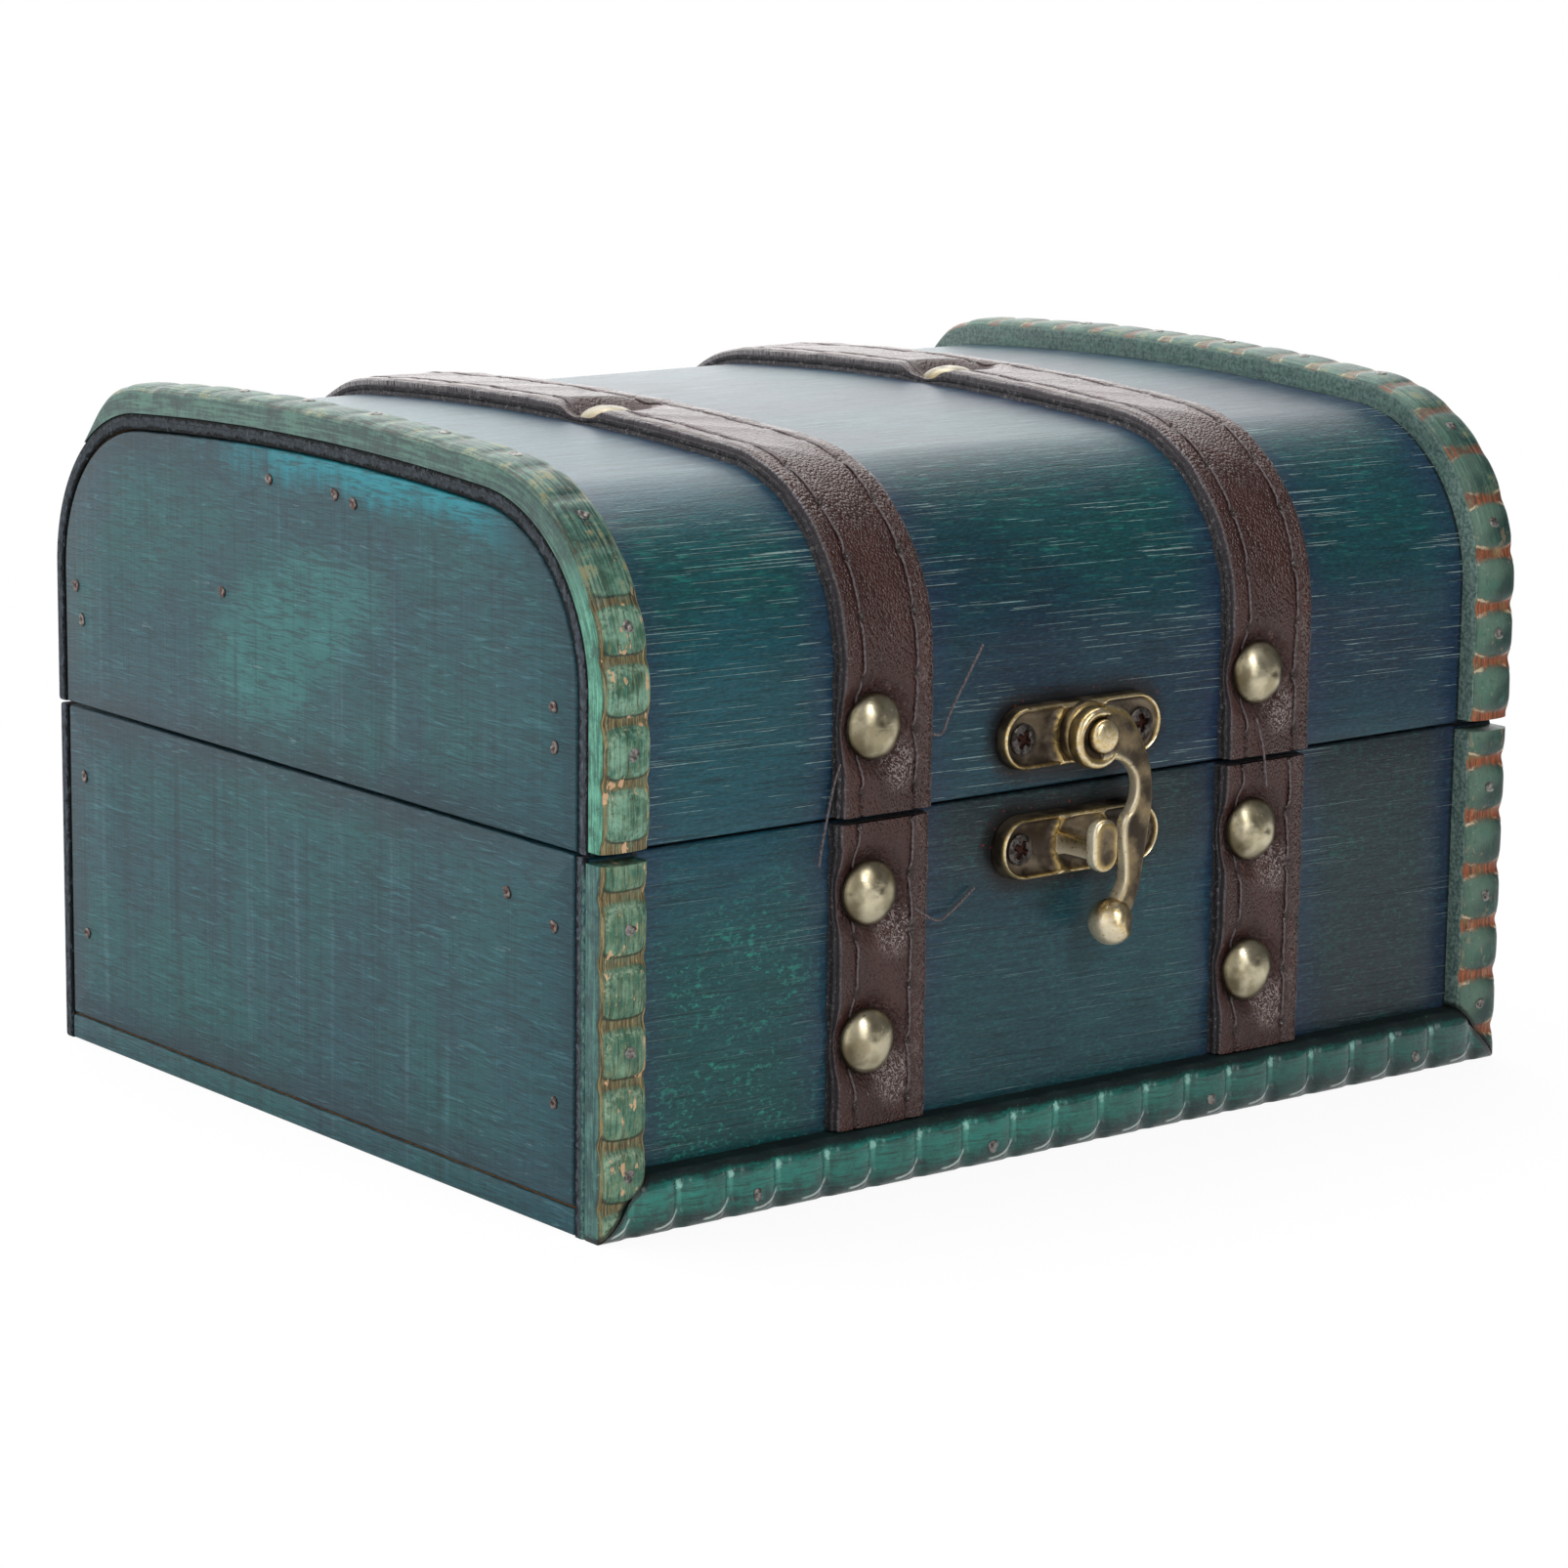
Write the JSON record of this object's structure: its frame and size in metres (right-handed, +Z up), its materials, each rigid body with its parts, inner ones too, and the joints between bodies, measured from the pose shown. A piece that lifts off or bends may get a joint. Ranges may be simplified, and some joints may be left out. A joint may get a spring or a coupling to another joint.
{
  "type": "treasure chest box",
  "caption": "Small wooden chest with an arched hinged lid, beaded trims, leather straps with brass tacks and a swinging hook latch over a catch post.",
  "frame": {"origin": "on the floor under the middle of the base, in the underside of the bottom board", "axes": "+X along the front to the right, +Y to the back, +Z up"},
  "size_m": [0.1802, 0.1619, 0.1108],
  "materials": {
    "stained_wood": "dark teal stain under satin lacquer, worn at the edges",
    "end_wood": "grey teal stain, brushed and matt",
    "inner_wood": "plain stained wood, matt",
    "trim_wood": "green stain with brown valleys, worn crests",
    "strap_leather": "dark brown grained face",
    "strap_backing": "raw dark fibre edge",
    "tack_brass": "antique brass, dull polish",
    "latch_brass": "antique brass with dark patina",
    "hinge_brass": "antique brass",
    "screw_steel": "steel with rust",
    "brad_steel": "bare steel, dull"
  },
  "bodies": {
    "base": {"base_back_wall": "stained_wood", "base_end_board_left": "inner_wood", "base_end_board_right": "inner_wood", "base_end_brads": "brad_steel", "base_end_panel_left": "end_wood", "base_end_panel_right": "end_wood", "base_front_wall": "stained_wood", "base_hinge_screws": "screw_steel", "base_strap_backing_left": "strap_backing", "base_strap_backing_right": "strap_backing", "base_strap_face_left": "strap_leather", "base_strap_face_right": "strap_leather", "base_strap_tacks": "tack_brass", "base_trim_brads": "brad_steel", "base_trim_left": "trim_wood", "base_trim_right": "trim_wood", "bottom_panel": "inner_wood", "bottom_trim": "trim_wood", "catch_plate": "latch_brass", "catch_plate_screws": "screw_steel", "catch_post": "latch_brass", "hinge_base_leaf_left": "hinge_brass", "hinge_base_leaf_right": "hinge_brass", "hinge_pin_left": "hinge_brass", "hinge_pin_right": "hinge_brass"},
    "lid": {"hinge_lid_leaf_left": "hinge_brass", "hinge_lid_leaf_right": "hinge_brass", "hook_plate": "latch_brass", "hook_plate_screws": "screw_steel", "hook_rivet": "latch_brass", "lid_end_board_left": "inner_wood", "lid_end_board_right": "inner_wood", "lid_end_brads": "brad_steel", "lid_end_panel_left": "end_wood", "lid_end_panel_right": "end_wood", "lid_hinge_screws": "screw_steel", "lid_shell": "stained_wood", "lid_strap_backing_left": "strap_backing", "lid_strap_backing_right": "strap_backing", "lid_strap_face_left": "strap_leather", "lid_strap_face_right": "strap_leather", "lid_strap_tacks": "tack_brass", "lid_trim_brads": "brad_steel", "lid_trim_left": "trim_wood", "lid_trim_right": "trim_wood"},
    "hook": {"latch_hook": "latch_brass"}
  },
  "joints": [
    {"name": "lid_hinge", "type": "hinge", "parent": "base", "child": "lid", "pos_m": [0, 0.0742, 0.05545], "axis": [-1, 0, 0], "range_deg": [0, 110]},
    {"name": "hook_swing", "type": "hinge", "parent": "lid", "child": "hook", "pos_m": [0, -0.0784, 0.0637], "axis": [0, -1, 0], "range_deg": [-20, 50]}
  ]
}
